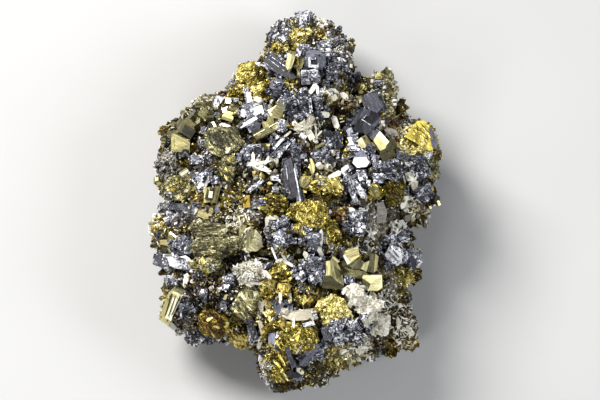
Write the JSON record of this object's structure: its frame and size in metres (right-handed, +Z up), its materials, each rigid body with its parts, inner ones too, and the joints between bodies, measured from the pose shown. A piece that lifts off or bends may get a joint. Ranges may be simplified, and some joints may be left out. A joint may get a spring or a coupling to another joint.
{
  "type": "chalcopyrite mineral specimen",
  "caption": "Hand-sized mineral specimen: a mound of golden, blue-grey, pale brass and cream crystals grown together on a dark rock that rests on a flat foot.",
  "frame": {"origin": "middle of the specimen's box, on the surface that it rests on", "axes": "+Z up from the flat foot, +Y from the toe to the crown of the display face, +X to its right"},
  "size_m": [0.0724, 0.1072, 0.0458],
  "materials": {
    "matrix": "rough dark rock of many small glittering crystals",
    "chalcopyrite": "brassy golden metallic lustre, rough and tarnished olive to orange",
    "galena": "blue-grey metallic lustre, stepped mirror-bright cleavage faces",
    "pyrite": "pale brass metallic lustre, fine straight striations",
    "calcite": "cream white, dull to silky, thin blades",
    "quartz": "grey, glassy",
    "sphalerite": "near-black brown, resinous to adamantine sparkle"
  },
  "bodies": {
    "root": {"calcite_flat_blade": "calcite", "calcite_large_crust": "calcite", "calcite_left_crust": "calcite", "calcite_star_left": "calcite", "calcite_star_top": "calcite", "chalcopyrite_centre_left": "chalcopyrite", "chalcopyrite_crown": "chalcopyrite", "chalcopyrite_glitter": "chalcopyrite", "chalcopyrite_heart": "chalcopyrite", "chalcopyrite_inner_ridge": "chalcopyrite", "chalcopyrite_left_patch": "chalcopyrite", "chalcopyrite_lower_left": "chalcopyrite", "chalcopyrite_olive_flank": "chalcopyrite", "chalcopyrite_olive_mass": "chalcopyrite", "chalcopyrite_peak": "chalcopyrite", "chalcopyrite_ridge": "chalcopyrite", "chalcopyrite_right_dark": "chalcopyrite", "chalcopyrite_right_edge": "chalcopyrite", "chalcopyrite_right_knob": "chalcopyrite", "chalcopyrite_shoulder": "chalcopyrite", "chalcopyrite_striated_dome": "chalcopyrite", "chalcopyrite_toe": "chalcopyrite", "chalcopyrite_wing": "chalcopyrite", "galena_blades": "galena", "galena_bright_slab": "galena", "galena_centre": "galena", "galena_collar": "galena", "galena_crown_plate": "galena", "galena_crown_steps": "galena", "galena_crown_tip": "galena", "galena_finger": "galena", "galena_flash_cluster": "galena", "galena_hollow_wall": "galena", "galena_left_bar": "galena", "galena_left_cubelet": "galena", "galena_left_prism": "galena", "galena_left_skeletal": "galena", "galena_low_centre": "galena", "galena_low_right": "galena", "galena_pillow": "galena", "galena_post": "galena", "galena_right_edge": "galena", "galena_rod": "galena", "galena_skeletal_cube": "galena", "galena_sponge": "galena", "galena_star_seat": "galena", "galena_striped_cube": "galena", "galena_stripes": "galena", "galena_toe": "galena", "galena_white_flash": "galena", "matrix": "matrix", "pyrite_cream_bar": "pyrite", "pyrite_left_cube": "pyrite", "pyrite_left_stubs": "pyrite", "pyrite_right_cubes": "pyrite", "pyrite_slab": "pyrite", "pyrite_striated_bar": "pyrite", "pyrite_wedge_and_cubes": "pyrite", "quartz_left_mass": "quartz", "sphalerite_wall": "sphalerite"}
  },
  "joints": []
}
